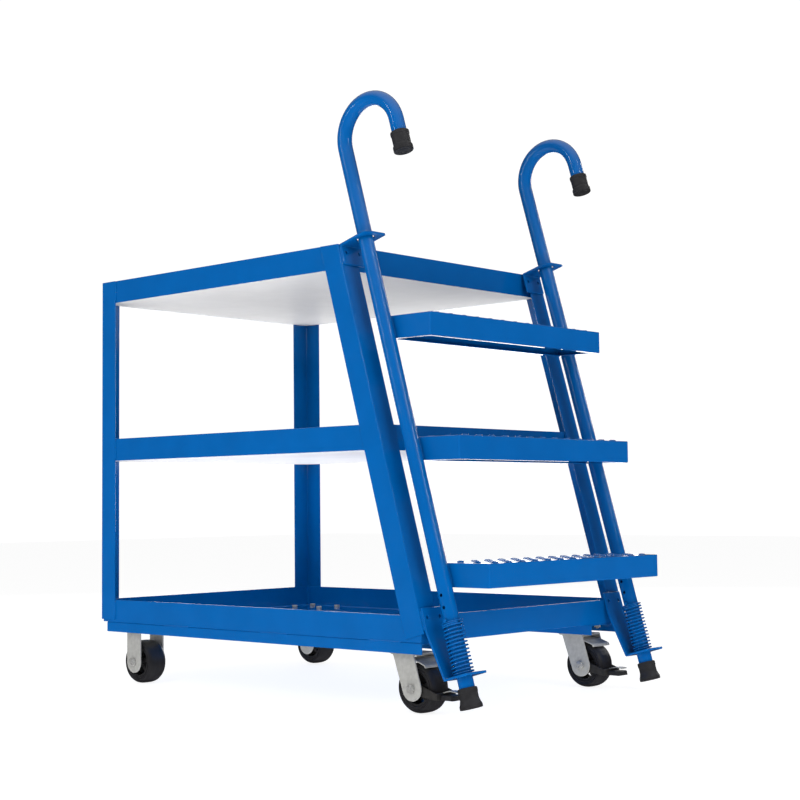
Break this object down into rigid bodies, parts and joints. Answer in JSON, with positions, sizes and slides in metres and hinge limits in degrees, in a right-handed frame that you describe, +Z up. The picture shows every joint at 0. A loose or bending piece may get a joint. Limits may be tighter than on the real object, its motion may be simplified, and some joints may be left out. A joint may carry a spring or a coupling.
{
  "type": "stock-picking shelf cart with ladder",
  "caption": "Steel shelf cart on casters with slanted front posts and a spring-loaded step ladder with hooked grab rails at one end.",
  "frame": {"origin": "on the floor, in the middle of the overall width and length", "axes": "+Z up, +X to the climber's right, the ladder end towards -Y, the goods end towards +Y"},
  "size_m": [0.695, 1.1658, 1.287],
  "materials": {
    "blue_paint": "gloss powder coat",
    "grey_paint": "satin",
    "zinc": "zinc plated",
    "brass_ring": "dull yellow passivate",
    "black_rubber": "matt",
    "tyre_rubber": "satin",
    "hub_plastic": "matt"
  },
  "bodies": {
    "cart": {"top_shelf_rim": "blue_paint", "top_shelf_deck": "grey_paint", "middle_shelf_rim": "blue_paint", "middle_shelf_deck": "grey_paint", "bottom_tray": "blue_paint", "caster_bolts": "zinc", "caster_nuts": "zinc", "rear_post_left": "blue_paint", "front_post_left": "blue_paint", "caster_rail_left": "blue_paint", "top_bracket_left": "blue_paint", "bottom_bracket_left": "blue_paint", "ladder_spring_left": "blue_paint", "rear_fork_left": "zinc", "rear_axle_left": "zinc", "front_plate_left": "zinc", "kingpin_left": "zinc", "rear_post_right": "blue_paint", "front_post_right": "blue_paint", "caster_rail_right": "blue_paint", "top_bracket_right": "blue_paint", "bottom_bracket_right": "blue_paint", "ladder_spring_right": "blue_paint", "rear_fork_right": "zinc", "rear_axle_right": "zinc", "front_plate_right": "zinc", "kingpin_right": "zinc"},
    "ladder": {"lower_step": "blue_paint", "middle_step": "blue_paint", "upper_step": "blue_paint", "ladder_rail_left": "blue_paint", "hook_cap_left": "black_rubber", "ladder_foot_left": "black_rubber", "spring_washer_left": "blue_paint", "spring_pin_left": "blue_paint", "ladder_rail_right": "blue_paint", "hook_cap_right": "black_rubber", "ladder_foot_right": "black_rubber", "spring_washer_right": "blue_paint", "spring_pin_right": "blue_paint"},
    "rear_wheel_left": {"rear_tyre_left": "tyre_rubber", "rear_hub_left": "hub_plastic"},
    "swivel_left": {"front_fork_left": "zinc", "ball_race_left": "brass_ring", "front_axle_left": "zinc"},
    "front_wheel_left": {"front_tyre_left": "tyre_rubber", "front_hub_left": "hub_plastic"},
    "brake_left": {"brake_lever_left": "zinc", "brake_pad_left": "black_rubber"},
    "rear_wheel_right": {"rear_tyre_right": "tyre_rubber", "rear_hub_right": "hub_plastic"},
    "swivel_right": {"front_fork_right": "zinc", "ball_race_right": "brass_ring", "front_axle_right": "zinc"},
    "front_wheel_right": {"front_tyre_right": "tyre_rubber", "front_hub_right": "hub_plastic"},
    "brake_right": {"brake_lever_right": "zinc", "brake_pad_right": "black_rubber"}
  },
  "joints": [
    {"name": "ladder_slide", "type": "slide", "parent": "cart", "child": "ladder", "axis": [0, -0.2746, -0.9615], "range_m": [0, 0.0163], "stiffness_N_per_m": 12000, "springref_m": -0.01492, "deforming": ["ladder_spring_left", "ladder_spring_right"]},
    {"name": "rear_wheel_spin_left", "type": "hinge", "parent": "cart", "child": "rear_wheel_left", "pos_m": [-0.2863, 0.49086, 0.0508], "axis": [1, 0, 0], "continuous": true},
    {"name": "caster_swivel_left", "type": "hinge", "parent": "cart", "child": "swivel_left", "pos_m": [-0.2863, -0.35314, 0.12], "axis": [0, 0, 1], "continuous": true},
    {"name": "front_wheel_spin_left", "type": "hinge", "parent": "swivel_left", "child": "front_wheel_left", "pos_m": [-0.2863, -0.39914, 0.0508], "axis": [1, 0, 0], "continuous": true},
    {"name": "brake_press_left", "type": "hinge", "parent": "swivel_left", "child": "brake_left", "pos_m": [-0.2863, -0.39914, 0.0508], "axis": [1, 0, 0], "range_deg": [0, 12]},
    {"name": "rear_wheel_spin_right", "type": "hinge", "parent": "cart", "child": "rear_wheel_right", "pos_m": [0.2863, 0.49086, 0.0508], "axis": [1, 0, 0], "continuous": true},
    {"name": "caster_swivel_right", "type": "hinge", "parent": "cart", "child": "swivel_right", "pos_m": [0.2863, -0.35314, 0.12], "axis": [0, 0, 1], "continuous": true},
    {"name": "front_wheel_spin_right", "type": "hinge", "parent": "swivel_right", "child": "front_wheel_right", "pos_m": [0.2863, -0.39914, 0.0508], "axis": [1, 0, 0], "continuous": true},
    {"name": "brake_press_right", "type": "hinge", "parent": "swivel_right", "child": "brake_right", "pos_m": [0.2863, -0.39914, 0.0508], "axis": [1, 0, 0], "range_deg": [0, 12]}
  ]
}
